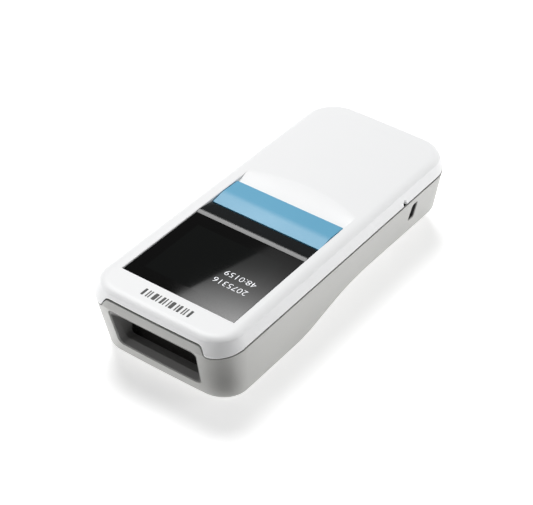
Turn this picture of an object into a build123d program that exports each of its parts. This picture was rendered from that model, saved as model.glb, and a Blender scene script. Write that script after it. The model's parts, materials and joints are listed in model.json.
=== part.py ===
"""Hand-held pocket barcode scanner with a display, a trigger key and a front scan window.

Millimetres. +Z is up, -Y is the end with the scan window, +X is the side with the strap slot.
The origin is under the middle of the casing, at the height of the flat face under the head.
"""

import os
from math import cos, radians, sin

from build123d import *

os.makedirs("parts", exist_ok=True)

# ---------------------------------------------------------------- driving dimensions
length = 110.4
width = 43.5
height = 22.0
wall = 1.8                      # casing wall
parting_z = 17.6                # joint line between the casings along the sides
reveal = 0.2                    # each casing stands back this far from the joint line

front_radius = 9.0              # plan corner radii at the joint line
rear_radius = 10.5
end_bow = 0.35                  # rise of the gently bowed front and rear edges
skirt_top_z = 21.15             # crease between the steep skirt and the shoulder
skirt_draft = 1.15
shoulder_width = 2.25           # soft shoulder between the crease and the flat top
shoulder_drop = height - skirt_top_z
rim_radius = 0.2                # soft edges of the upper casing and of the openings
joint_radius = 0.1              # soft edge of the lower casing along the joint
base_side_draft = 1.45          # how far the head's underside stands inside the joint line
base_front_lean = 5.7
base_rear_lean = 2.0
underside_fillet = 1.5

lip_top_z = 19.65               # raised joint line over the scan window
lip_half_width = 13.2
dip_z = 16.7                    # lowest point of the joint line, at the front corners

display_z = 21.65               # face of the display lens
opening_half_width = 16.83      # display, bezel and key share one opening
opening_front_y = -44.7
lens_end_y = -13.98
bezel_end_y = -7.35
key_front_y = -7.05
key_ridge_y = -2.4
key_rear_y = 4.1
dish_end_y = 11.8
lens_thickness = 1.1
tape_thickness = 0.15
ledge_z = display_z - lens_thickness - tape_thickness
ledge_thickness = 1.0
ceiling_z = height - 1.6        # underside of the upper casing's top wall
fit_gap = 0.13                  # gap round the lens and the bezel
key_gap = 0.3                   # gap round the trigger key
key_travel = 0.5

window_half_width = 13.3        # scan opening at its top and at its bottom
window_base_half_width = 12.6
window_top_z = 17.3
window_base_z = 4.1
window_corner = 1.7
glass_y = -46.5                 # front face of the exit glass

board_z = 14.8                  # underside of the main board
board_top_z = 15.8
board_half_width = 14.0
board_front_y = -43.7
board_rear_y = 51.3

casing_screw_spots = [(-16.6, -40.7), (16.6, -40.7), (-16.6, 41.3), (16.6, 41.3)]
board_screw_spots = [(-11.5, -12), (11.5, -12), (-11.5, 8), (11.5, 8)]
board_rest_spots = [(-12, -27), (12, -27)]
engine_screw_spots = [(-12.3, -31.6), (12.3, -31.6)]
joint_step_y = -46.7            # behind this the joint line is level
switch_y = -1.5                 # tact switch under the middle of the key
stop_pad_x = 11.5
strap_y = (31.1, 34.2)          # foot of the strap slot in the side
strap_z = (10.5, 15.4)
strap_slant = 0.8
strap_depth_x = 17.2            # bottom of the slot
liner_x = 19.0                  # inner end of the slot's liner
liner_wall = 0.3
label_thickness = 0.3
notch_y = 27.75

half_length = length / 2
half_width = width / 2


# ---------------------------------------------------------------- shared profiles
def outline(z, side=0.0, front=0.0, rear=0.0):
    """Plan outline of the casing at height z, moved in by the given insets."""
    x = half_width - side
    y_front = -half_length + front + end_bow
    y_rear = half_length - rear - end_bow
    with BuildSketch(Plane.XY.offset(z)) as plan:
        with BuildLine():
            Line((x, y_front), (x, y_rear))
            ThreePointArc((x, y_rear), (0, y_rear + end_bow), (-x, y_rear))
            Line((-x, y_rear), (-x, y_front))
            ThreePointArc((-x, y_front), (0, y_front - end_bow), (x, y_front))
        make_face()
        fillet(plan.vertices().group_by(Axis.Y)[0], front_radius - side)
        fillet(plan.vertices().group_by(Axis.Y)[-1], rear_radius - side)
    return plan.sketch


def casing_layer(inset, top_z, top_inset):
    """The casing's tapered body up to top_z, moved in by inset below and by top_inset at the top."""
    with BuildPart() as layer:
        at_joint = outline(parting_z, inset, inset, inset)
        loft([outline(0, base_side_draft + inset, base_front_lean + inset, base_rear_lean + inset), at_joint])
        loft([at_joint, outline(top_z, top_inset, top_inset, top_inset)])
    return layer.part


def underside_profile(rise=0.0):
    """Side view of what lies below the casing, with its upper edge raised by rise."""
    with BuildSketch(Plane.YZ) as side_view:
        with BuildLine():
            Line((-60, -5), (-60, 0.9 + rise))
            Bezier((-60, 0.9 + rise), (-50, 0.35 + rise), (-44, rise), (-38, rise))
            Line((-38, rise), (-20.5, rise))
            Bezier((-20.5, rise), (-9.5, rise), (-5, 5.75 + rise), (12, 5.75 + rise))
            Line((12, 5.75 + rise), (60, 4.8 + rise))
            Line((60, 4.8 + rise), (60, -5))
            Line((60, -5), (-60, -5))
        make_face()
    return side_view.sketch


def above_joint(shift=0.0):
    """Everything above the joint surface, which rises over the scan window."""
    with BuildPart() as region:
        with BuildSketch(Plane.XZ.offset(half_length + 5)) as front_view:
            with BuildLine():
                Line((-30, 30), (-30, parting_z))
                Line((-30, parting_z), (-half_width, parting_z))
                Bezier((-half_width, parting_z), (-20.2, 17.1), (-18.8, dip_z), (-16.6, dip_z))
                Bezier((-16.6, dip_z), (-14.7, dip_z), (-15.2, lip_top_z), (-lip_half_width, lip_top_z))
                Line((-lip_half_width, lip_top_z), (lip_half_width, lip_top_z))
                Bezier((lip_half_width, lip_top_z), (15.2, lip_top_z), (14.7, dip_z), (16.6, dip_z))
                Bezier((16.6, dip_z), (18.8, dip_z), (20.2, 17.1), (half_width, parting_z))
                Line((half_width, parting_z), (30, parting_z))
                Line((30, parting_z), (30, 30))
                Line((30, 30), (-30, 30))
            make_face()
        extrude(amount=-(half_length + 5 + joint_step_y))
        with BuildSketch(Plane.XY.offset(parting_z)):
            with Locations((0, joint_step_y)):
                Rectangle(60, 2 * half_length, align=(Align.CENTER, Align.MIN))
        extrude(amount=12.4)
    return Pos(0, 0, shift) * region.part


# The front face of the lower casing leans back towards the underside.
face_lean = Vector(0, -parting_z, -base_front_lean).normalized()
front_face = Plane(origin=(0, -half_length, parting_z), x_dir=(1, 0, 0), z_dir=face_lean)


def window_outline(depth, inset, top_z):
    """Outline of the scan opening on a plane that lies the given depth behind the front face."""
    stretch = 1 / abs(face_lean.Y)
    top = (top_z - parting_z) * stretch - inset
    base = (window_base_z - parting_z) * stretch + inset
    with BuildSketch(front_face.offset(-depth)) as opening:
        with BuildLine():
            Polyline(
                (-window_half_width + inset, top),
                (window_half_width - inset, top),
                (window_base_half_width - inset, base),
                (-window_base_half_width + inset, base),
                close=True,
            )
        make_face()
        fillet(opening.vertices(), window_corner - inset * 0.5)
    return opening.sketch


def dish_section(x, end_y):
    """Side view of the space cut out above the thumb dish, at the given x."""
    start = key_rear_y + key_gap
    with BuildSketch(Plane.YZ.offset(x)) as section:
        with BuildLine():
            Bezier((start, 21.15), (start + 3, 21.45), (end_y - 3.5, height - 0.03), (end_y, height + 0.03))
            Line((end_y, height + 0.03), (end_y, height + 1))
            Line((end_y, height + 1), (start, height + 1))
            Line((start, height + 1), (start, 21.15))
        make_face()
    return section.sketch


def strap_outline(inset):
    """Slanted outline of the strap slot, on a plane at the bottom of the slot."""
    with BuildSketch(Plane.YZ.offset(strap_depth_x)) as slot:
        with BuildLine():
            Polyline(
                (strap_y[0], strap_z[0]),
                (strap_y[1], strap_z[0]),
                (strap_y[1] + strap_slant, strap_z[1]),
                (strap_y[0] + strap_slant + 0.4, strap_z[1]),
                close=True,
            )
        make_face()
        fillet(slot.vertices(), 0.5)
        if inset:
            offset(amount=-inset, mode=Mode.REPLACE)
    return slot.sketch


def lies_on(edge, form):
    """True if an edge runs along the faces of a form."""
    spots = [Vertex(*(edge @ share)) for share in (0.25, 0.5, 0.75)]
    return all(min(face.distance_to(spot) for face in form.faces()) < 1e-3 for spot in spots)


def between(edge, x_range, y_range, z_range):
    """True if the middle of an edge is between two x, two y and two z values."""
    middle = edge @ 0.5
    ranges = (x_range, y_range, z_range)
    return all(low < value < high for value, (low, high) in zip((middle.X, middle.Y, middle.Z), ranges))


def block(x_range, y_range, z_range):
    """A box between two x, two y and two z values."""
    size = [high - low for low, high in (x_range, y_range, z_range)]
    middle = [(high + low) / 2 for low, high in (x_range, y_range, z_range)]
    return Pos(*middle) * Box(*size, mode=Mode.PRIVATE)


def post(spot, radius, z_range, mode=Mode.ADD):
    """An upright round post between two z values, added to the part being built."""
    with Locations((*spot, z_range[0])):
        Cylinder(radius, z_range[1] - z_range[0], align=(Align.CENTER, Align.CENTER, Align.MIN), mode=mode)


# ---------------------------------------------------------------- master forms
# Outer form of the closed casing: deep head, S-curved grip, steep skirt and soft shoulder.
shoulder_start = 25                     # degrees round its ellipse where the shoulder meets the crease
shoulder_steps = [shoulder_start, 40, 56, 73, 90]
with BuildPart() as outer_form:
    add(casing_layer(0, skirt_top_z, skirt_draft))
    across = shoulder_width / cos(radians(shoulder_start))
    tall = shoulder_drop / (1 - sin(radians(shoulder_start)))
    sections = []
    for angle in shoulder_steps:
        step_in = skirt_draft + shoulder_width - across * cos(radians(angle))
        step_z = height - tall * (1 - sin(radians(angle)))
        sections.append(outline(step_z, step_in, step_in, step_in))
    loft(sections)
    extrude(underside_profile(), amount=40, both=True, mode=Mode.SUBTRACT)
    underside_rim = outer_form.faces().filter_by(lambda f: f.normal_at().Z < -0.8).edges()
    fillet(underside_rim.filter_by(lambda e: not e.is_interior), underside_fillet)

# Hollow of the closed casing.
with BuildPart() as inner_form:
    add(casing_layer(wall, ceiling_z, wall + skirt_draft))
    extrude(underside_profile(wall), amount=40, both=True, mode=Mode.SUBTRACT)

# ---------------------------------------------------------------- casings
# Blank label let into the underside of the grip.
with BuildPart() as rating_label:
    with BuildSketch(Plane.XY.offset(3)):
        with Locations((0, 27)):
            RectangleRounded(27, 22, 1.5)
    extrude(amount=4)
    extrude(underside_profile(), amount=40, both=True, mode=Mode.SUBTRACT)
    extrude(underside_profile(label_thickness), amount=40, both=True, mode=Mode.INTERSECT)
rating_label.part.label = "rating_label"
export_step(rating_label.part, "parts/rating_label.step")

# Posts and blocks that stand on the inside of the lower casing.
with BuildPart() as lower_posts:
    with Locations([(x, y, 0) for x, y in casing_screw_spots]):
        Cylinder(2.3, parting_z, align=(Align.CENTER, Align.CENTER, Align.MIN))
        Cylinder(2.6, 4.2, align=(Align.CENTER, Align.CENTER, Align.MIN))
    with Locations([(x, y, 0) for x, y in casing_screw_spots[2:]]):
        Cylinder(2.6, 9.2, align=(Align.CENTER, Align.CENTER, Align.MIN))
    with Locations([(x, y, 0) for x, y in board_screw_spots + board_rest_spots]):
        Cylinder(1.9, board_z, align=(Align.CENTER, Align.CENTER, Align.MIN))
    with Locations([(x, y, 0) for x, y in engine_screw_spots]):
        Cylinder(1.6, 2.6, align=(Align.CENTER, Align.CENTER, Align.MIN))
    add(block((16.0, 21), (strap_y[0] - 2.2, strap_y[1] + 2.2), (0, 17)))
    add(inner_form.part, mode=Mode.INTERSECT)

with BuildPart() as lower_casing:
    add(outer_form.part)
    add(inner_form.part, mode=Mode.SUBTRACT)
    add(lower_posts.part)
    add(above_joint(-reveal), mode=Mode.SUBTRACT)
    # scan opening in the front wall
    extrude(window_outline(4, 0, window_top_z), amount=8, mode=Mode.SUBTRACT)
    # strap slot: in through the side, out through the underside
    extrude(strap_outline(0), amount=6, mode=Mode.SUBTRACT)
    add(block((strap_depth_x, liner_x), strap_y, (-1, 13)), mode=Mode.SUBTRACT)
    # opening for the charging socket in the rear wall
    with BuildSketch(Plane.XZ.offset(-60)):
        with Locations((0, 13.4)):
            RectangleRounded(9.2, 4.0, 1.2)
    extrude(amount=8, mode=Mode.SUBTRACT)
    add(rating_label.part, mode=Mode.SUBTRACT)
    # holes for the screws
    with Locations([(x, y, -1) for x, y in casing_screw_spots]):
        Cylinder(1.1, 20, align=(Align.CENTER, Align.CENTER, Align.MIN), mode=Mode.SUBTRACT)
    with Locations([(x, y, -1) for x, y in casing_screw_spots[:2]]):
        Cylinder(1.75, 3.8, align=(Align.CENTER, Align.CENTER, Align.MIN), mode=Mode.SUBTRACT)
    with Locations([(x, y, -1) for x, y in casing_screw_spots[2:]]):
        Cylinder(1.75, 9.0, align=(Align.CENTER, Align.CENTER, Align.MIN), mode=Mode.SUBTRACT)
    with Locations([(x, y, board_z) for x, y in board_screw_spots]):
        Cylinder(0.85, 5.5, align=(Align.CENTER, Align.CENTER, Align.MAX), mode=Mode.SUBTRACT)
    with Locations([(x, y, 2.6) for x, y in engine_screw_spots]):
        Cylinder(0.75, 1.8, align=(Align.CENTER, Align.CENTER, Align.MAX), mode=Mode.SUBTRACT)
    # soft edges: along the joint, round the scan opening, the strap slot and the socket's opening
    joint_edges = lower_casing.edges().filter_by(lambda e: between(e, (-30, 30), (-60, 60), (16, 20)))
    joint_form = above_joint(-reveal)
    fillet([e for e in joint_edges if lies_on(e, outer_form.part) and lies_on(e, joint_form)], joint_radius)
    for x_range, y_range, z_range in (
        ((-13.6, 13.6), (-60, -50), (3.5, 17.45)),
        ((20, 22), (30, 36), (10, 16)),
        ((-5, 5), (53, 56), (11, 16)),
    ):
        opening_edges = lower_casing.edges().filter_by(lambda e: between(e, x_range, y_range, z_range))
        fillet([e for e in opening_edges if lies_on(e, outer_form.part)], rim_radius)
lower_casing.part.label = "lower_casing"
export_step(lower_casing.part, "parts/lower_casing.step")

# Dark liner of the strap slot, set back a little from the casing's side.
with BuildPart() as strap_liner:
    extrude(strap_outline(0), amount=6)
    extrude(strap_outline(liner_wall), amount=6, mode=Mode.SUBTRACT)
    add(block((strap_depth_x - 1, liner_x), (20, 45), (0, 20)), mode=Mode.SUBTRACT)
    add(Pos(-0.25, 0, 0) * outer_form.part, mode=Mode.INTERSECT)
strap_liner.part.label = "strap_liner"
export_step(strap_liner.part, "parts/strap_liner.step")

# Upper casing: top shell with the shared opening, the thumb dish and the screw bosses.
opening_x = (-opening_half_width, opening_half_width)
with BuildPart() as upper_casing:
    add(outer_form.part)
    add(inner_form.part, mode=Mode.SUBTRACT)
    add(above_joint(reveal), mode=Mode.INTERSECT)
    add(block((-18.4, 18.4), (opening_front_y - 1.5, bezel_end_y), (ledge_z - ledge_thickness, ledge_z)))
    for spot in casing_screw_spots:
        post(spot, 2.5, (parting_z + reveal, ceiling_z + 0.2))
    add(block(opening_x, (opening_front_y, bezel_end_y), (ledge_z, height + 1)), mode=Mode.SUBTRACT)
    add(block(opening_x, (bezel_end_y, key_rear_y + key_gap), (17, height + 1)), mode=Mode.SUBTRACT)
    add(block((-14.8, 14.8), (-42.7, -15.7), (17, height)), mode=Mode.SUBTRACT)
    dish = loft([
        dish_section(-opening_half_width, dish_end_y - 1.2),
        dish_section(0, dish_end_y + 2.6),
        dish_section(opening_half_width, dish_end_y - 1.2),
    ], mode=Mode.PRIVATE)
    add(dish, mode=Mode.SUBTRACT)
    for spot in casing_screw_spots:
        post(spot, 1.7, (parting_z, 20.25), mode=Mode.SUBTRACT)
    # small notch in the lower edge, above the strap slot
    with BuildSketch(Plane.YZ.offset(half_width - 0.95)):
        with Locations((notch_y, parting_z)):
            SlotOverall(3.4, 1.5, rotation=90)
    extrude(amount=2, mode=Mode.SUBTRACT)
    # soft edges: round the display and key opening, then along the joint and the notch
    top_edges = upper_casing.edges().filter_by(lambda e: between(e, (-17, 17), (-45, 5), (21.98, 22.02)))
    fillet(top_edges, rim_radius)
    skirt_edges = upper_casing.edges().filter_by(lambda e: between(e, (-30, 30), (-60, 60), (16.6, 19.9)))
    fillet([e for e in skirt_edges if lies_on(e, outer_form.part)], rim_radius)
upper_casing.part.label = "upper_casing"
export_step(upper_casing.part, "parts/upper_casing.step")

# Sealing strip that fills the joint all the way round, over the scan window as well.
seal_depth = 0.45               # the strip lies this far inside the casing's outer face
seal_width = 0.7
with BuildPart() as casing_seal:
    add(casing_layer(seal_depth, skirt_top_z, skirt_draft + seal_depth))
    add(casing_layer(seal_depth + seal_width, skirt_top_z, skirt_draft + seal_depth + seal_width), mode=Mode.SUBTRACT)
    add(above_joint(-reveal), mode=Mode.INTERSECT)
    add(above_joint(reveal), mode=Mode.SUBTRACT)
casing_seal.part.label = "casing_seal"
export_step(casing_seal.part, "parts/casing_seal.step")

with BuildPart() as threaded_inserts:
    for spot in casing_screw_spots:
        post(spot, 1.7, (parting_z + 0.15, 20.2))
        post(spot, 1.0, (parting_z, 20.2), mode=Mode.SUBTRACT)
threaded_inserts.part.label = "threaded_inserts"
export_step(threaded_inserts.part, "parts/threaded_inserts.step")

with BuildPart() as casing_screws:
    for spot, seat_z in zip(casing_screw_spots, (2.8, 2.8, 8.0, 8.0)):
        post(spot, 1.6, (seat_z - 1.2, seat_z))
        post(spot, 0.95, (seat_z, 20.0))
        with Locations((*spot, seat_z - 1.2)):
            with BuildSketch():
                RegularPolygon(0.8, 6)
        extrude(amount=0.7, mode=Mode.SUBTRACT)
casing_screws.part.label = "casing_screws"
export_step(casing_screws.part, "parts/casing_screws.step")

# ---------------------------------------------------------------- display and key
lens_x = (-opening_half_width + fit_gap, opening_half_width - fit_gap)
lens_y = (opening_front_y + fit_gap, lens_end_y - 0.05)
with BuildPart() as display_window:
    add(block(lens_x, lens_y, (display_z - lens_thickness, display_z)))
    fillet(display_window.edges().filter_by(Axis.Z), 0.4)
    chamfer(display_window.faces().sort_by(Axis.Z)[-1].edges(), 0.12)
display_window.part.label = "display_window"
export_step(display_window.part, "parts/display_window.step")

with BuildPart() as window_tape:
    add(block((-16.4, 16.4), (-44.3, -14.3), (ledge_z, ledge_z + tape_thickness)))
    add(block((-14.9, 14.9), (-42.8, -15.6), (ledge_z, ledge_z + tape_thickness)), mode=Mode.SUBTRACT)
window_tape.part.label = "window_tape"
export_step(window_tape.part, "parts/window_tape.step")

# Black bar: swells from the lens to a soft ridge, then falls towards the key.
bar_front_y = lens_end_y + 0.05
bar_rear_y = bezel_end_y - fit_gap
bar_front_z = display_z + 0.01
bar_rear_z = display_z - 0.5
ridge_y = bar_front_y + 1.5
ridge_z = display_z + 0.27
falling_y = ridge_y + 1.2       # the straight falling face starts here
falling_slope = 0.17
falling_z = bar_rear_z + falling_slope * (bar_rear_y - falling_y)
with BuildPart() as key_bezel:
    with BuildSketch(Plane.YZ):
        with BuildLine():
            Bezier(
                (bar_front_y, bar_front_z),
                (bar_front_y + 0.4, bar_front_z + 0.14),
                (ridge_y - 0.6, ridge_z),
                (ridge_y, ridge_z),
            )
            Bezier(
                (ridge_y, ridge_z),
                (ridge_y + 0.45, ridge_z),
                (falling_y - 0.4, falling_z + 0.4 * falling_slope),
                (falling_y, falling_z),
            )
            Polyline(
                (falling_y, falling_z),
                (bar_rear_y, bar_rear_z),
                (bar_rear_y, ledge_z),
                (bar_front_y, ledge_z),
                (bar_front_y, bar_front_z),
            )
        make_face()
    extrude(amount=lens_x[1], both=True)
key_bezel.part.label = "key_bezel"
export_step(key_bezel.part, "parts/key_bezel.step")

# Blue trigger key: ridged cap with retaining edges, two stop ribs and a middle stem.
key_x = opening_half_width - key_gap
cap_z = 20.25
with BuildPart() as trigger_key:
    with BuildSketch(Plane.YZ) as cap:
        with BuildLine():
            Polyline(
                (key_front_y, cap_z),
                (key_front_y, 21.25),
                (key_ridge_y, 21.95),
                (key_rear_y, 21.65),
                (key_rear_y, cap_z),
                close=True,
            )
        make_face()
        corners = cap.vertices().sort_by(Axis.Y)        # from the foot of the cap to its ridge
        fillet(corners[-1], 9)
        fillet(corners[-3:-1], 0.3)
    extrude(amount=key_x, both=True)
    add(block((-18, 18), (key_front_y, key_rear_y + 1.1), (cap_z - 1.05, cap_z)))
    add(block((-15, 15), (key_front_y + 1.2, key_rear_y - 1.2), (cap_z - 1.05, cap_z + 0.2)), mode=Mode.SUBTRACT)
    post((0, switch_y), 2.0, (18.25, 20.6))
    post((-stop_pad_x, switch_y), 1.5, (cap_z - 1.05, 20.6))
    post((stop_pad_x, switch_y), 1.5, (cap_z - 1.05, 20.6))
trigger_key.part.label = "trigger_key"
export_step(trigger_key.part, "parts/trigger_key.step")

with BuildPart() as key_stop_pads:
    post((-stop_pad_x, switch_y), 1.5, (board_top_z, cap_z - 1.05 - key_travel - 0.05))
    post((stop_pad_x, switch_y), 1.5, (board_top_z, cap_z - 1.05 - key_travel - 0.05))
key_stop_pads.part.label = "key_stop_pads"
export_step(key_stop_pads.part, "parts/key_stop_pads.step")

with BuildPart() as tact_switch:
    add(block((-3, 3), (switch_y - 3, switch_y + 3), (board_top_z, board_top_z + 1.8)))
    fillet(tact_switch.edges().filter_by(Axis.Z), 0.4)
    post((0, switch_y), 1.65, (board_top_z + 0.5, board_top_z + 2), mode=Mode.SUBTRACT)
tact_switch.part.label = "tact_switch"
export_step(tact_switch.part, "parts/tact_switch.step")

with BuildPart() as switch_plunger:
    post((0, switch_y), 1.6, (board_top_z + 1.1, 18.2))
switch_plunger.part.label = "switch_plunger"
export_step(switch_plunger.part, "parts/switch_plunger.step")

# ---------------------------------------------------------------- display module
with BuildPart() as oled_holder:
    add(block((-13.8, 13.8), (-42.9, -15.3), (board_top_z, 18.8)))
    add(block((-11.5, 11.5), (-40.5, -17.5), (board_top_z, 18.8)), mode=Mode.SUBTRACT)
oled_holder.part.label = "oled_holder"
export_step(oled_holder.part, "parts/oled_holder.step")

with BuildPart() as oled_panel:
    add(block((-13.2, 13.2), (-42, -16.4), (18.8, 20.2)))
oled_panel.part.label = "oled_panel"
export_step(oled_panel.part, "parts/oled_panel.step")

# Flat cable: leaves the panel's rear edge level, then turns down to its connector.
with BuildPart() as oled_flex:
    with BuildSketch(Plane.YZ):
        with BuildLine():
            Line((-16.3, 19.1), (-14.9, 19.1))
            TangentArc((-14.9, 19.1), (-14.1, 18.3), tangent=(1, 0))
            Line((-14.1, 18.3), (-14.1, 16.95))
            offset(amount=0.1, side=Side.BOTH)
        make_face()
    extrude(amount=4, both=True)
oled_flex.part.label = "oled_flex"
export_step(oled_flex.part, "parts/oled_flex.step")

with BuildPart() as oled_connector:
    add(block((-5, 5), (-15.1, -13.1), (board_top_z, 16.85)))
oled_connector.part.label = "oled_connector"
export_step(oled_connector.part, "parts/oled_connector.step")

# ---------------------------------------------------------------- board and what sits on it
with BuildPart() as main_board:
    add(block((-board_half_width, board_half_width), (board_front_y, board_rear_y), (board_z, board_top_z)))
    fillet(main_board.edges().filter_by(Axis.Z), 1.0)
    for spot in board_screw_spots:
        post(spot, 0.9, (board_z, board_top_z), mode=Mode.SUBTRACT)
main_board.part.label = "main_board"
export_step(main_board.part, "parts/main_board.step")

with BuildPart() as board_screws:
    for spot in board_screw_spots:
        post(spot, 1.5, (board_top_z, board_top_z + 0.9))
        post(spot, 0.8, (board_z - 4.8, board_top_z))
board_screws.part.label = "board_screws"
export_step(board_screws.part, "parts/board_screws.step")

with BuildPart() as processor_shield:
    add(block((-9, 9), (10, 25), (board_top_z, 17.6)))
    fillet(processor_shield.edges().filter_by(Axis.Z), 0.6)
processor_shield.part.label = "processor_shield"
export_step(processor_shield.part, "parts/processor_shield.step")

with BuildPart() as radio_module:
    add(block((-1, 11), (30, 48), (board_top_z, 16.6)))
    add(block((0, 10), (31, 42), (16.6, 18.2)))
radio_module.part.label = "radio_module"
export_step(radio_module.part, "parts/radio_module.step")

with BuildPart() as buzzer:
    post((-7.5, 32), 4.5, (board_top_z, 18.8))
    post((-7.5, 32), 0.9, (18.0, 18.8), mode=Mode.SUBTRACT)
buzzer.part.label = "buzzer"
export_step(buzzer.part, "parts/buzzer.step")

# Charging socket at the rear end, hung under the board.
socket_z = (12.0, board_z)
with BuildPart() as usb_socket:
    add(block((-3.8, 3.8), (47.0, 52.6), socket_z))
    fillet(usb_socket.edges().filter_by(Axis.Y), 0.7)
    add(block((-3.4, 3.4), (47.5, 52.6), (socket_z[0] + 0.4, socket_z[1] - 0.4)), mode=Mode.SUBTRACT)
usb_socket.part.label = "usb_socket"
export_step(usb_socket.part, "parts/usb_socket.step")

with BuildPart() as usb_tongue:
    add(block((-2.4, 2.4), (47.5, 51.3), (13.15, 13.75)))
usb_tongue.part.label = "usb_tongue"
export_step(usb_tongue.part, "parts/usb_tongue.step")

# ---------------------------------------------------------------- battery
battery_y = (11.0, 45.5)
with BuildPart() as battery_cell:
    add(block((-13.6, 13.6), battery_y, (8.0, 14.2)))
    fillet(battery_cell.edges().filter_by(Axis.Y), 1.5)
battery_cell.part.label = "battery_cell"
export_step(battery_cell.part, "parts/battery_cell.step")

with BuildPart() as battery_foam:
    add(block((-11, 11), (14, 43), (7.55, 8.0)))
battery_foam.part.label = "battery_foam"
export_step(battery_foam.part, "parts/battery_foam.step")

with BuildPart() as battery_connector:
    add(block((-4, 4), (3.2, 6.2), (12.6, board_z)))
battery_connector.part.label = "battery_connector"
export_step(battery_connector.part, "parts/battery_connector.step")

with BuildPart() as battery_lead:
    add(block((-2.2, 2.2), (6.2, battery_y[0]), (12.7, 13.2)))
battery_lead.part.label = "battery_lead"
export_step(battery_lead.part, "parts/battery_lead.step")

# ---------------------------------------------------------------- scan window and engine
glass_thickness = 1.1
funnel_skin = 0.35              # edge of the funnel seen round the scan opening
bevel_depth = 2.2               # the steep brow inside the upper edge ends this deep
brow_z = 14.0
with BuildPart() as scan_bezel:
    # sleeve in the casing's opening, flush but for a small step back, widening to the glass seat
    extrude(window_outline(wall + 0.3, fit_gap, window_top_z), amount=6)
    with BuildSketch(Plane.XZ.offset(-glass_y)) as seat:
        with Locations((0, 9.5)):
            RectangleRounded(27.2, 11.4, 1.5)
    loft([window_outline(wall + 0.3, fit_gap, window_top_z), seat.sketch], ruled=True)
    extrude(seat.sketch, amount=-glass_thickness)
    add(Pos(0, 0.3, 0) * outer_form.part, mode=Mode.INTERSECT)
    # funnel: steep brow first, then a gentle taper to the glass
    extrude(window_outline(0, funnel_skin, window_top_z), amount=4, mode=Mode.SUBTRACT)
    loft([window_outline(0, funnel_skin, window_top_z),
          window_outline(bevel_depth, funnel_skin + 0.3, brow_z)], ruled=True, mode=Mode.SUBTRACT)
    with BuildSketch(Plane.XZ.offset(-glass_y)) as throat:
        with Locations((0, 9.3)):
            RectangleRounded(24, 8.2, 1.0)
    loft([window_outline(bevel_depth, funnel_skin + 0.3, brow_z), throat.sketch],
         ruled=True, mode=Mode.SUBTRACT)
    add(block((-12.7, 12.7), (glass_y, glass_y + glass_thickness), (4.5, 14.1)), mode=Mode.SUBTRACT)
scan_bezel.part.label = "scan_bezel"
export_step(scan_bezel.part, "parts/scan_bezel.step")

with BuildPart() as scan_glass:
    add(block((-12.6, 12.6), (glass_y, glass_y + glass_thickness), (4.6, 14.0)))
scan_glass.part.label = "scan_glass"
export_step(scan_glass.part, "parts/scan_glass.step")

gasket_y = (glass_y + glass_thickness, glass_y + glass_thickness + 0.6)
with BuildPart() as window_gasket:
    add(block((-13.2, 13.2), gasket_y, (4.0, 14.6)))
    add(block((-11.4, 11.4), gasket_y, (5.4, 13.2)), mode=Mode.SUBTRACT)
window_gasket.part.label = "window_gasket"
export_step(window_gasket.part, "parts/window_gasket.step")

engine_y = (-44.2, -29.2)
lens_seat_y = -42.0
optics_z = 8.6
with BuildPart() as scan_engine:
    add(block((-10.8, 10.8), engine_y, (3.4, 13.9)))
    fillet(scan_engine.edges().filter_by(Axis.Y), 0.8)
    add(block((-9.8, 9.8), (engine_y[0], lens_seat_y), (4.6, 12.8)), mode=Mode.SUBTRACT)
scan_engine.part.label = "scan_engine"
export_step(scan_engine.part, "parts/scan_engine.step")

with BuildPart() as imaging_lens:
    with BuildSketch(Plane.XZ.offset(-lens_seat_y)):
        with Locations((-3.5, optics_z)):
            Circle(3.0)
    extrude(amount=1.9)
imaging_lens.part.label = "imaging_lens"
export_step(imaging_lens.part, "parts/imaging_lens.step")

with BuildPart() as aimer_lens:
    with BuildSketch(Plane.XZ.offset(-lens_seat_y)):
        with Locations((3.5, optics_z)):
            Circle(1.5)
    extrude(amount=1.6)
aimer_lens.part.label = "aimer_lens"
export_step(aimer_lens.part, "parts/aimer_lens.step")

with BuildPart() as illumination_leds:
    for side in (-1, 1):
        add(block(sorted((side * 7.3, side * 9.3)), (lens_seat_y - 0.8, lens_seat_y), (7.6, 9.6)))
illumination_leds.part.label = "illumination_leds"
export_step(illumination_leds.part, "parts/illumination_leds.step")

with BuildPart() as engine_bracket:
    add(block((-13.8, 13.8), (-43.6, -29.6), (2.6, 3.4)))
    for side in (-1, 1):
        add(block(sorted((side * 10.8, side * 11.6)), (-43.6, -34.0), (3.4, 9.5)))
    for spot in engine_screw_spots:
        post(spot, 0.8, (2.6, 3.4), mode=Mode.SUBTRACT)
engine_bracket.part.label = "engine_bracket"
export_step(engine_bracket.part, "parts/engine_bracket.step")

with BuildPart() as engine_screws:
    for spot in engine_screw_spots:
        post(spot, 1.3, (3.4, 4.2))
        post(spot, 0.7, (1.0, 3.4))
engine_screws.part.label = "engine_screws"
export_step(engine_screws.part, "parts/engine_screws.step")

with BuildPart() as engine_flex:
    with BuildSketch(Plane.YZ):
        with BuildLine():
            Line((-29.1, 8.0), (-26.9, 8.0))
            TangentArc((-26.9, 8.0), (-26.1, 8.8), tangent=(1, 0))
            Line((-26.1, 8.8), (-26.1, 13.35))
            offset(amount=0.1, side=Side.BOTH)
        make_face()
    extrude(amount=3.5, both=True)
engine_flex.part.label = "engine_flex"
export_step(engine_flex.part, "parts/engine_flex.step")

with BuildPart() as engine_connector:
    add(block((-4, 4), (-27.1, -25.1), (13.45, board_z)))
engine_connector.part.label = "engine_connector"
export_step(engine_connector.part, "parts/engine_connector.step")
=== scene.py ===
import json
import math

import bpy
from mathutils import Matrix, Vector


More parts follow.
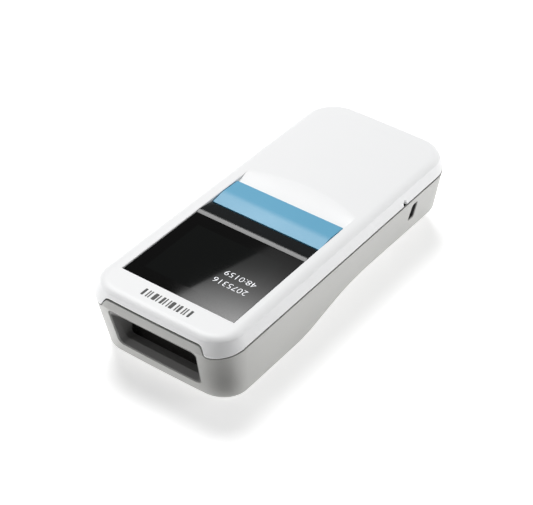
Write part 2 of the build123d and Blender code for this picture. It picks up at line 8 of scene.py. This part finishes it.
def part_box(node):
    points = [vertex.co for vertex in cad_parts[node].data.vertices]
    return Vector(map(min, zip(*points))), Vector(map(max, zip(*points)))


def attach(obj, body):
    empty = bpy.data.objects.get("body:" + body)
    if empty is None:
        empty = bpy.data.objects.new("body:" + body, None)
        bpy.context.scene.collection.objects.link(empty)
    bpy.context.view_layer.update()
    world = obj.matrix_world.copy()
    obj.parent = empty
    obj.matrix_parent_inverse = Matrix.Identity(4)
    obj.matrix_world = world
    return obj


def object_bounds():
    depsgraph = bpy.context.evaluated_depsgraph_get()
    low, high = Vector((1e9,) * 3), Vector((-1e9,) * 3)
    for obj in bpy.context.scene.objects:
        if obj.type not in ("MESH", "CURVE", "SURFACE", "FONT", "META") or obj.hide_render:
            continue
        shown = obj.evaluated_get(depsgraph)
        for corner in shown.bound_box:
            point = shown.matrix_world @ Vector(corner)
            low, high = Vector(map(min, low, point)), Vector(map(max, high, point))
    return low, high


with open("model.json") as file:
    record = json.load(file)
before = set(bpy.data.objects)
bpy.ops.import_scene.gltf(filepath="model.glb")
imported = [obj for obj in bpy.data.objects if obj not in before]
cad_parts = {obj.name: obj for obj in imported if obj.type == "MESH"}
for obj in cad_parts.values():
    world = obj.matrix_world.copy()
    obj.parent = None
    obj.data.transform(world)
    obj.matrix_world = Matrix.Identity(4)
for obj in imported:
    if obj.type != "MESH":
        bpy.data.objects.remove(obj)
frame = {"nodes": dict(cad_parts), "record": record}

cad_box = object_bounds()
MM = 0.001


# ---------------------------------------------------------------- camera, lights and world
def camera_frame(azimuth, elevation, roll):
    """Camera axes as columns (right, up, back) for angles in degrees."""
    azimuth, elevation, roll = (math.radians(angle) for angle in (azimuth, elevation, roll))
    back = Vector((
        math.sin(azimuth) * math.cos(elevation),
        -math.cos(azimuth) * math.cos(elevation),
        math.sin(elevation),
    ))
    right = Vector((0, 0, 1)).cross(back).normalized()
    up = back.cross(right)
    turned_right = math.cos(roll) * right + math.sin(roll) * up
    turned_up = math.cos(roll) * up - math.sin(roll) * right
    return Matrix((turned_right, turned_up, back)).transposed()


camera_spot = Vector((0.1886, -0.3090, 0.2835))
camera_azimuth, camera_elevation, camera_roll = 31.85, 37.28, 4.40
camera_data = bpy.data.cameras.new("camera")
camera_data.lens = 116.65
camera_data.sensor_width = 36
camera_data.clip_start = 0.01
camera_data.clip_end = 20
camera = bpy.data.objects.new("camera", camera_data)
bpy.context.scene.collection.objects.link(camera)
camera_turn = camera_frame(camera_azimuth, camera_elevation, camera_roll)
camera.matrix_world = Matrix.Translation(camera_spot) @ camera_turn.to_4x4()
bpy.context.scene.camera = camera
bpy.context.scene.view_settings.view_transform = "Standard"

display_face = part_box("display_window")[1].z


def softbox(name, place, aim, size, power):
    """A square area light at a place, turned towards a point."""
    data = bpy.data.lights.new(name, "AREA")
    data.shape = "SQUARE"
    data.size = size
    data.energy = power
    lamp = bpy.data.objects.new(name, data)
    bpy.context.scene.collection.objects.link(lamp)
    lamp.location = place
    lamp.rotation_euler = (Vector(aim) - Vector(place)).to_track_quat("-Z", "Y").to_euler()


def mirrored_spot(x, y, reach):
    """Where the sight line that the display mirrors at (x, y) arrives after the given reach."""
    mirrored = Vector((camera_spot.x, camera_spot.y, 2 * display_face - camera_spot.z))
    point = Vector((x, y, display_face))
    return point + (point - mirrored).normalized() * reach


softbox("key_light", (-0.46, 0.34, 0.92), (0, 0, 0), 0.55, 10.3)
softbox("front_light", (-0.60, -0.72, 0.06), (0, 0, 0.01), 0.5, 3.9)
softbox("right_light", (0.76, 0.64, 0.12), (0, 0, 0.01), 0.5, 5.6)

studio = bpy.data.worlds.new("studio")
bpy.context.scene.world = studio
studio.use_nodes = True
surroundings = studio.node_tree.nodes["Background"].inputs
surroundings["Color"].default_value = (1, 1, 1, 1)
surroundings["Strength"].default_value = 0.18


# ---------------------------------------------------------------- material tools
class Wire:
    """A socket with arithmetic: an expression on wires adds the Math nodes it needs."""

    def __init__(self, finish, socket):
        self.finish = finish
        self.socket = socket

    def maths(self, operation, *others):
        return self.finish.node("ShaderNodeMath", {"operation": operation}, self, *others)

    def __add__(self, other):
        return self.maths("ADD", other)

    def __sub__(self, other):
        return self.maths("SUBTRACT", other)

    def __mul__(self, other):
        return self.maths("MULTIPLY", other)

    def __rsub__(self, other):
        return self.finish.node("ShaderNodeMath", {"operation": "SUBTRACT"}, other, self)

    def __gt__(self, other):
        return self.maths("GREATER_THAN", other)

    def __lt__(self, other):
        return self.maths("LESS_THAN", other)

    def __abs__(self):
        return self.maths("ABSOLUTE")

    def clamp(self):
        return self.finish.node("ShaderNodeClamp", {}, self)

    __radd__ = __add__
    __rmul__ = __mul__


class Finish:
    """A material made of nodes on Object coordinates, feeding one Principled shader."""

    def __init__(self, name, **shader):
        self.material = bpy.data.materials.new(name)
        self.material.use_nodes = True
        self.tree = self.material.node_tree
        self.shader = self.tree.nodes["Principled BSDF"]
        self.place = self.node("ShaderNodeTexCoord", {}, output="Object")
        split = self.node("ShaderNodeSeparateXYZ", {}, self.place)
        self.x, self.y, self.z = (
            Wire(self, split.socket.node.outputs[axis]) for axis in "XYZ"
        )
        self.set(**shader)

    def node(self, kind, settings, *values, output=0, **named):
        """Adds a node with its settings, gives its inputs values or wires, and returns an output."""
        made = self.tree.nodes.new(kind)
        for key, value in settings.items():
            setattr(made, key, value)
        for key, value in [*enumerate(values), *named.items()]:
            self.feed(made.inputs[key.replace("_", " ") if isinstance(key, str) else key], value)
        return Wire(self, made.outputs[output])

    def feed(self, socket, value):
        if isinstance(value, Wire):
            self.tree.links.new(value.socket, socket)
        else:
            socket.default_value = value

    def set(self, **shader):
        """Sets inputs of the shader, named as in the shader with _ for a space."""
        for key, value in shader.items():
            self.feed(self.shader.inputs[key.replace("_", " ")], value)

    def noise(self, scale, detail=2.0, roughness=0.5, where=None):
        return self.node(
            "ShaderNodeTexNoise", {}, Vector=where or self.place, Scale=scale, Detail=detail,
            Roughness=roughness, output="Fac",
        )

    def mix(self, factor, first, second):
        """A colour between two colours."""
        made = self.tree.nodes.new("ShaderNodeMix")
        made.data_type = "RGBA"
        for socket, value in zip((made.inputs[0], made.inputs[6], made.inputs[7]), (factor, first, second)):
            self.feed(socket, value)
        return Wire(self, made.outputs[2])

    def bump(self, height, depth):
        """Feeds the shader's normal from a height that is depth metres at 1."""
        self.set(Normal=self.node("ShaderNodeBump", {}, Height=height, Distance=depth, output="Normal"))

    def stretched_noise(self, scale, detail):
        """Noise with its own scale along each axis."""
        stretched = self.node("ShaderNodeMapping", {}, Vector=self.place, Scale=scale, output="Vector")
        return self.noise(1.0, detail, where=stretched)


def grey(value, warmth=0.0):
    """A grey as a colour, warmer than neutral by the given amount."""
    return (value + warmth, value, value - warmth, 1)


# ---------------------------------------------------------------- finishes
def moulded(name, light, dark, roughness, grain, depth, **shader):
    """Moulded plastic: faint flow variation in colour, a fine grain in the surface and its gloss."""
    finish = Finish(name, **shader)
    flow = finish.noise(60, 3)
    texture = finish.noise(grain, 2)
    finish.set(
        Base_Color=finish.mix(flow, light, dark),
        Roughness=roughness + (texture - 0.5) * 0.12 + (flow - 0.5) * 0.06,
    )
    finish.bump(texture, depth)
    return finish


def glossy(name, light, dark, roughness, **shader):
    """Polished face: even colour with faint smears in the gloss."""
    finish = Finish(name, **shader)
    smears = finish.noise(130, 4, 0.6)
    specks = finish.noise(3200, 1) > 0.74
    finish.set(
        Base_Color=finish.mix(finish.noise(90, 2), light, dark),
        Roughness=roughness + (smears - 0.5) * 0.05 + specks * 0.05,
    )
    return finish


def display_gloss():
    """Black display face: the viewing area is a shade lighter than its border."""
    finish = Finish("black_gloss", Specular_IOR_Level=0.34)
    low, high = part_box("display_window")
    middle = (low + high) / 2
    half = (high - low) / 2
    side_border = 3.6 * MM
    end_border = 4.2 * MM
    across = abs(finish.x - middle.x) > half.x - side_border
    along = abs(finish.y - middle.y) > half.y - end_border
    border = (across + along).clamp()
    smears = finish.noise(110, 4, 0.6)
    finish.set(
        Base_Color=finish.mix(border, (0.0030, 0.0036, 0.0034, 1), grey(0.0010)),
        Roughness=0.025 + (smears - 0.5) * 0.012 + border * 0.015,
    )
    return finish


def metal(name, light, dark, roughness, stretch, depth):
    """Worked metal: fine lines along one axis in colour, gloss and surface, with a few dull patches."""
    finish = Finish(name, Metallic=1.0)
    lines = finish.stretched_noise(stretch, 3)
    patches = finish.noise(160, 3)
    finish.set(
        Base_Color=finish.mix(lines, light, dark),
        Roughness=roughness + (lines - 0.5) * 0.16 + (patches - 0.5) * 0.12,
    )
    finish.bump(lines, depth)
    return finish


def foam(name, light, dark, cell):
    """Open foam or soft pad: small round cells."""
    finish = Finish(name, Roughness=0.92, Specular_IOR_Level=0.25)
    cells = finish.node("ShaderNodeTexVoronoi", {}, Vector=finish.place, Scale=1 / cell, output="Distance")
    finish.set(Base_Color=finish.mix(cells.clamp(), dark, light))
    finish.bump(cells, cell / 3)
    return finish


def film_strip(name, light, dark, track, pitch):
    """Amber film with copper tracks that show through as darker lines."""
    finish = Finish(name)
    phase = finish.x * (1 / pitch)
    tracks = abs(phase.maths("FRACT") - 0.5) < 0.28
    cloud = finish.noise(420, 2)
    finish.set(
        Base_Color=finish.mix(tracks * 0.7, finish.mix(cloud, light, dark), track),
        Roughness=0.32 + tracks * 0.08 + (cloud - 0.5) * 0.08,
    )
    finish.bump(tracks, 0.00001)
    return finish


def printed_board():
    """Green solder mask over copper: tracks stand a little proud, gold pads at their ends."""
    finish = Finish("circuit_board", Specular_IOR_Level=0.5)
    lattice = finish.node(
        "ShaderNodeTexVoronoi", {"distance": "MANHATTAN", "feature": "F1"},
        Vector=finish.place, Scale=520.0, output="Distance",
    )
    runs = finish.node(
        "ShaderNodeTexVoronoi", {"distance": "CHEBYCHEV", "feature": "F2"},
        Vector=finish.place, Scale=210.0, output="Distance",
    )
    tracks = abs(runs.maths("MULTIPLY", 3.0).maths("FRACT") - 0.5) < 0.22
    pads = lattice < 0.13
    mask = finish.mix(tracks, (0.010, 0.085, 0.035, 1), (0.020, 0.15, 0.062, 1))
    finish.set(
        Base_Color=finish.mix(pads, mask, (0.80, 0.58, 0.22, 1)),
        Metallic=pads * 0.9,
        Roughness=0.34 - pads * 0.06 + (finish.noise(300, 3) - 0.5) * 0.1,
    )
    finish.bump(tracks * 0.6 + pads, 0.00002)
    return finish


def wrapped_cell():
    """Battery in shrink film: shallow wrinkles and a dull printed band."""
    finish = Finish("battery_wrap", Specular_IOR_Level=0.5)
    low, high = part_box("battery_cell")
    wrinkles = finish.stretched_noise((900, 120, 900), 3)
    band = abs(finish.y - (low.y * 0.3 + high.y * 0.7)) < (high.y - low.y) * 0.09
    finish.set(
        Base_Color=finish.mix(band, finish.mix(wrinkles, grey(0.46), grey(0.36)), (0.05, 0.16, 0.34, 1)),
        Roughness=0.36 + band * 0.12 + (wrinkles - 0.5) * 0.14,
    )
    finish.bump(wrinkles, 0.00004)
    return finish


def label_film():
    """Matt polyester label: a faint tooth in the surface and slightly worn colour."""
    finish = Finish("label", Specular_IOR_Level=0.35)
    tooth = finish.noise(2400, 2)
    worn = finish.noise(95, 4, 0.65)
    finish.set(
        Base_Color=finish.mix(worn, grey(0.80), grey(0.70, 0.004)),
        Roughness=0.55 + (tooth - 0.5) * 0.2,
    )
    finish.bump(tooth, 0.000004)
    return finish


def pixel_glow():
    """Lit pixels: the light of each dot falls off towards its edge."""
    finish = Finish("pixel_glow", Base_Color=grey(0.5), Roughness=0.4, Emission_Strength=1.0)
    dots = finish.node("ShaderNodeTexVoronoi", {}, Vector=finish.place, Scale=6000.0, output="Distance")
    finish.set(Emission_Color=finish.mix(dots.clamp(), (0.74, 0.76, 0.80, 1), (0.58, 0.60, 0.64, 1)))
    return finish


finishes = {
    "white_casing": moulded(
        "white_casing", (0.88, 0.885, 0.89, 1), (0.86, 0.865, 0.87, 1), 0.38, 3000, 0.000004,
        Specular_IOR_Level=0.3,
    ),
    "grey_casing": moulded(
        "grey_casing", (0.49, 0.49, 0.475, 1), (0.465, 0.465, 0.45, 1), 0.45, 2600, 0.000010,
    ),
    "blue_key": moulded(
        "blue_key", (0.095, 0.375, 0.575, 1), (0.080, 0.345, 0.540, 1), 0.44, 2600, 0.000002,
        Specular_IOR_Level=0.55,
    ),
    "black_bar": glossy(
        "black_bar", (0.0022, 0.0034, 0.0044, 1), (0.0014, 0.0022, 0.0030, 1), 0.20, Specular_IOR_Level=0.30,
    ),
    "black_gloss": display_gloss(),
    "exit_glass": glossy("exit_glass", grey(0.008, 0.0006), grey(0.005, 0.0006), 0.06),
    "bezel_grey": moulded("bezel_grey", grey(0.19, 0.002), grey(0.175, 0.002), 0.50, 2600, 0.000010),
    # the strap slot's liner is a near-black sheet that stands in for the shadow inside the slot: painted
    # shade
    "liner_grey": moulded("liner_grey", grey(0.06), grey(0.05), 0.6, 2600, 0.000010),
    "dark_rubber": moulded(
        "dark_rubber", grey(0.012), grey(0.008), 0.8, 2600, 0.00001, Specular_IOR_Level=0.2,
    ),
    "inner_black": moulded("inner_black", grey(0.020), grey(0.014), 0.55, 2400, 0.000010),
    "switch_body": moulded("switch_body", grey(0.30), grey(0.25), 0.45, 2400, 0.000010),
    "switch_plunger": moulded(
        "switch_plunger", (0.35, 0.03, 0.02, 1), (0.30, 0.025, 0.02, 1), 0.5, 2400, 0.000006,
    ),
    "connector": moulded("connector", (0.62, 0.57, 0.45, 1), (0.56, 0.52, 0.40, 1), 0.5, 2400, 0.000010),
    "engine_body": moulded("engine_body", grey(0.030), grey(0.022), 0.42, 2400, 0.000010),
    "led": glossy("led", (0.82, 0.80, 0.55, 1), (0.74, 0.72, 0.46, 1), 0.12, Coat_Weight=0.5),
    "lens_glass": glossy(
        "lens_glass", (0.015, 0.012, 0.045, 1), (0.010, 0.022, 0.038, 1), 0.04, Coat_Weight=0.8,
    ),
    "oled_glass": glossy("oled_glass", (0.010, 0.012, 0.020, 1), (0.006, 0.008, 0.014, 1), 0.10),
    "adhesive": foam("adhesive", grey(0.05), grey(0.02), 0.0004),
    "soft_pad": foam("soft_pad", grey(0.09), grey(0.03), 0.0006),
    "brass": metal("brass", (0.86, 0.62, 0.26, 1), (0.66, 0.45, 0.17, 1), 0.30, (2600, 2600, 260), 0.00002),
    "screw_steel": metal("screw_steel", grey(0.52), grey(0.38), 0.34, (1500, 1500, 300), 0.000006),
    "shield_can": metal("shield_can", grey(0.66, 0.01), grey(0.56, 0.01), 0.30, (2200, 160, 700), 0.000004),
    "bracket_steel": metal("bracket_steel", grey(0.60), grey(0.48), 0.32, (180, 2400, 700), 0.000005),
    "polyimide": film_strip(
        "polyimide", (0.50, 0.22, 0.03, 1), (0.42, 0.18, 0.025, 1), (0.28, 0.10, 0.02, 1), 0.0006,
    ),
    "circuit_board": printed_board(),
    "battery_wrap": wrapped_cell(),
    "label": label_film(),
}
print_ink = moulded("print_ink", grey(0.016), grey(0.011), 0.5, 2200, 0.000001)
pixels = pixel_glow()

slots = {row["node"]: row["material_slot"] for row in frame["record"]["subparts"]}
for node, piece in frame["nodes"].items():
    piece.data.materials.clear()
    piece.data.materials.append(finishes[slots[node]].material)


# ---------------------------------------------------------------- making pieces
def select_only(*pieces):
    """Leaves object mode with only these pieces selected, the first of them active."""
    if bpy.context.object and bpy.context.object.mode != "OBJECT":
        bpy.ops.object.mode_set(mode="OBJECT")
    bpy.ops.object.select_all(action="DESELECT")
    for piece in pieces:
        piece.select_set(True)
    if pieces:
        bpy.context.view_layer.objects.active = pieces[0]


def start_block(name, low, high):
    """A cube with its corners at two points, open in edit mode, all of it selected."""
    select_only()
    low, high = Vector(low), Vector(high)
    bpy.ops.mesh.primitive_cube_add(size=1, location=(low + high) / 2, scale=high - low)
    piece = bpy.context.active_object
    piece.name = name
    bpy.ops.object.transform_apply(location=True, rotation=True, scale=True)
    bpy.ops.object.mode_set(mode="EDIT")
    bpy.ops.mesh.select_all(action="SELECT")
    return piece


def pick_edges(piece, test):
    """In edit mode, selects only the edges whose two end points pass a test."""
    bpy.ops.mesh.select_mode(type="EDGE")
    bpy.ops.mesh.select_all(action="DESELECT")
    bpy.ops.object.mode_set(mode="OBJECT")
    for edge in piece.data.edges:
        first, second = (piece.data.vertices[index].co for index in edge.vertices)
        edge.select = test(first, second)
    bpy.ops.object.mode_set(mode="EDIT")


def upright(first, second):
    """Whether an edge runs straight up."""
    nothing = 1e-7
    return abs(first.z - second.z) > nothing and (first.xy - second.xy).length < nothing


def finished(piece, finish, body):
    """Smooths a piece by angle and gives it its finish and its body."""
    select_only(piece)
    bpy.ops.object.shade_smooth_by_angle(angle=math.radians(35))
    piece.data.materials.clear()
    piece.data.materials.append(finish.material)
    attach(piece, body)


def copied(piece, offset):
    """A copy with its own mesh, moved by an offset."""
    copy = piece.copy()
    copy.data = piece.data.copy()
    bpy.context.scene.collection.objects.link(copy)
    copy.data.transform(Matrix.Translation(offset))
    return copy


def joined(name, pieces):
    """One piece made of several."""
    select_only(*pieces)
    bpy.ops.object.join()
    pieces[0].name = name
    return pieces[0]


def ink_stroke(name, low, high):
    """A thin rounded stroke of ink between two corners."""
    corner = 0.28                   # radius as a share of the stroke's width
    piece = start_block(name, low, high)
    pick_edges(piece, upright)
    width = min(high[0] - low[0], high[1] - low[1])
    bpy.ops.mesh.bevel(offset=width * corner, segments=3, affect="EDGES")
    bpy.ops.object.mode_set(mode="OBJECT")
    return piece


def row_of_bars(name, low, high, widths):
    """Bars of ink side by side between two corners: the widths are those of bar, gap, bar and so on."""
    unit = (high[0] - low[0]) / sum(widths)
    bars = []
    x = low[0]
    for index, width in enumerate(widths):
        if index % 2 == 0:
            bars.append(ink_stroke(name, (x, low[1], low[2]), (x + width * unit, high[1], high[2])))
        x += width * unit
    return joined(name, bars)


def digits(name, text, size, place, turn, flip, thickness, thinner=0.0):
    """A row of digits as a mesh from a place, turned about Z, flipped to read from below, or thinned."""
    select_only()
    bpy.ops.object.text_add(location=(0, 0, 0))
    row = bpy.context.active_object
    row.data.body = text
    row.data.size = size
    row.data.extrude = thickness / 2
    row.data.offset = -thinner
    row.data.resolution_u = 3
    row.name = name
    bpy.ops.object.convert(target="MESH")
    row = bpy.context.active_object
    row.data.transform(
        Matrix.Translation(place) @ Matrix.Rotation(math.radians(turn), 4, "Z")
        @ Matrix.Rotation(math.radians(180 if flip else 0), 4, "Y")
    )
    return row


# the mark on the front lip: a plain row of bars
ink = 0.02 * MM                     # how far ink stands proud
casing_low, casing_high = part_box("upper_casing")
mark_half_width = 7.2 * MM
mark_front, mark_rear = 4.6 * MM, 7.3 * MM      # from the front of the casing
lip_mark = row_of_bars(
    "lip_mark",
    (-mark_half_width, casing_low.y + mark_front, casing_high.z - ink),
    (mark_half_width, casing_low.y + mark_rear, casing_high.z + ink),
    (2, 2, 1, 1, 1, 2, 3, 1, 1, 2, 2, 1, 1, 2, 1, 1, 3, 2, 1, 1, 2, 2, 1, 1, 1, 2, 2),
)
finished(lip_mark, print_ink, "casing")

# lit digits on the display, the right way up for whoever holds the grip
display_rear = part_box("display_window")[1].y
digit_size = 2.9 * MM
digit_level = display_face + 0.012 * MM
digit_left = 12.9 * MM
digit_rows = (("2075316", 18.6 * MM), ("48:0159", 14.7 * MM))   # distance from the display's rear edge
lit_rows = [
    digits(
        "display_digits", text, digit_size, (digit_left, display_rear - distance, digit_level),
        180, False, ink, thinner=0.05 * MM,
    )
    for text, distance in digit_rows
]
finished(joined("display_digits", lit_rows), pixels, "casing")

# print on the underside label: a frame, a row of bars, a line across and digits
label_low, label_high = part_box("rating_label")
label_middle = (label_low + label_high) / 2
frame_margin = 1.0 * MM
frame_line = 0.22 * MM
ink_low, ink_high = label_low.z - ink, label_low.z + 0.01 * MM
left, right = label_low.x + frame_margin, label_high.x - frame_margin
near, far = label_low.y + frame_margin, label_high.y - frame_margin
across_label = label_middle.y - frame_line / 2
rectangles = (
    (left, near, right, near + frame_line),
    (left, far - frame_line, right, far),
    (left, near, left + frame_line, far),
    (right - frame_line, near, right, far),
    (left, across_label, right, across_label + frame_line),
)
strokes = [
    ink_stroke("label_print", (x_low, y_low, ink_low), (x_high, y_high, ink_high))
    for x_low, y_low, x_high, y_high in rectangles
]
bars_margin = 2.0 * MM
strokes.append(row_of_bars(
    "label_print",
    (left + bars_margin, near + 4.2 * MM, ink_low),
    (right - bars_margin, label_middle.y - 1.4 * MM, ink_high),
    (1, 1, 2, 1, 1, 3, 1, 1, 2, 2, 1, 1, 3, 1, 1, 2, 1, 1,
     1, 2, 3, 1, 2, 1, 1, 1, 2, 1, 1, 3, 1, 1, 2, 1, 1),
))
text_margin = 2.2 * MM
label_rows = (
    ("0 123456 789012", 1.9 * MM, 1.5 * MM),        # digits, their size, distance from the frame's near line
    ("5    1 ", 2.1 * MM, 16.0 * MM),
    ("3.7    1200", 1.9 * MM, 12.8 * MM),
)
for text, size, distance in label_rows:
    place = (right - text_margin, near + distance, (ink_low + ink_high) / 2)
    strokes.append(digits("label_print", text, size, place, 0, True, ink_high - ink_low))
finished(joined("label_print", strokes), print_ink, "casing")

# contacts on the tongue of the charging socket
tongue_low, tongue_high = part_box("usb_tongue")
contact_pitch = 0.8 * MM
contact_half_width = 0.17 * MM
contact = start_block(
    "usb_contacts",
    (-contact_half_width, tongue_low.y + 0.5 * MM, tongue_high.z - 0.01 * MM),
    (contact_half_width, tongue_high.y - 0.3 * MM, tongue_high.z + 0.07 * MM),
)
pick_edges(contact, lambda first, second: (first.z + second.z) / 2 > tongue_high.z + 0.03 * MM)
bpy.ops.mesh.bevel(offset=0.03 * MM, segments=2, affect="EDGES")
bpy.ops.object.mode_set(mode="OBJECT")
other_contacts = [copied(contact, (places * contact_pitch, 0, 0)) for places in (-2, -1, 1, 2)]
finished(joined("usb_contacts", [contact, *other_contacts]), finishes["brass"], "casing")


# ---------------------------------------------------------------- floor and cards
def seen_from_above(finish):
    """Makes a finish clear on the back of its faces, as for a floor that is looked through from below."""
    behind = finish.node("ShaderNodeNewGeometry", {}, output="Backfacing")
    clear = finish.node("ShaderNodeBsdfTransparent", {})
    shaded = Wire(finish, finish.shader.outputs["BSDF"])
    one_sided = finish.node("ShaderNodeMixShader", {}, behind, shaded, clear)
    finish.feed(finish.tree.nodes["Material Output"].inputs["Surface"], one_sided)


floor_gap = 0.1 * MM                # keeps the floor clear of the flat underside
select_only()
bpy.ops.mesh.primitive_plane_add(size=6, location=(0, 0, cad_box[0][2] - floor_gap))
floor = bpy.context.active_object
floor.name = "floor"
floor_finish = Finish(
    "floor", Base_Color=grey(0.9), Roughness=0.9, Emission_Color=grey(1.0), Emission_Strength=0.50,
)
seen_from_above(floor_finish)
floor.data.materials.append(floor_finish.material)


def card(name, corners, finish, mirrored):
    """A flat four-cornered card, itself unseen: it is mirrored by glossy faces or shades the rest."""
    mesh = bpy.data.meshes.new(name)
    mesh.from_pydata([tuple(corner) for corner in corners], [], [(0, 1, 2, 3)])
    across = mesh.uv_layers.new(name="across").data
    for corner, spot in zip(across, ((0, 0), (0, 1), (1, 1), (1, 0))):
        corner.uv = spot
    mesh.materials.append(finish.material)
    piece = bpy.data.objects.new(name, mesh)
    bpy.context.scene.collection.objects.link(piece)
    piece.visible_camera = False
    piece.visible_shadow = False
    piece.visible_diffuse = not mirrored


def mirrored_card(name, outline, reach, finish):
    """A card that fills an outline on the display, given in mm, as the camera sees it mirrored."""
    card(name, [mirrored_spot(x * MM, y * MM, reach) for x, y in outline], finish, True)


# the pale card that the display mirrors on its right, brightest at the front corner
glow = Finish(
    "display_card", Base_Color=grey(0), Roughness=1.0, Specular_IOR_Level=0, Emission_Color=grey(1.0),
)
spread = glow.node("ShaderNodeSeparateXYZ", {}, glow.node("ShaderNodeUVMap", {"uv_map": "across"}))
across, along = (Wire(glow, spread.socket.node.outputs[axis]) for axis in "XY")
nearness = (1 - along).clamp()
glow.set(Emission_Strength=0.55 + nearness.maths("POWER", 2.4) * (3.2 + across * 7.2))
mirrored_card("display_card", ((-0.4, -46), (6.7, -13), (19, -13), (19, -46)), 1.6, glow)

# a dim card that the rest of the display mirrors, and a dark one that shades the front corner
dim = Finish(
    "dim_card", Base_Color=grey(0.002), Roughness=1.0, Specular_IOR_Level=0, Emission_Color=grey(1.0),
    Emission_Strength=0.11,
)
dark = Finish("dark_card", Base_Color=grey(0.002), Roughness=1.0, Specular_IOR_Level=0)
mirrored_card("dim_card", ((-40, -70), (-40, 4), (40, 4), (40, -70)), 1.65, dim)
seen_from_above(dark)
shade = ((0.012, -0.058), (0.06, -0.125), (0.10, -0.08), (0.024, -0.046))
card("corner_card", [(x, y, 1.0 * MM) for x, y in shade], dark, False)
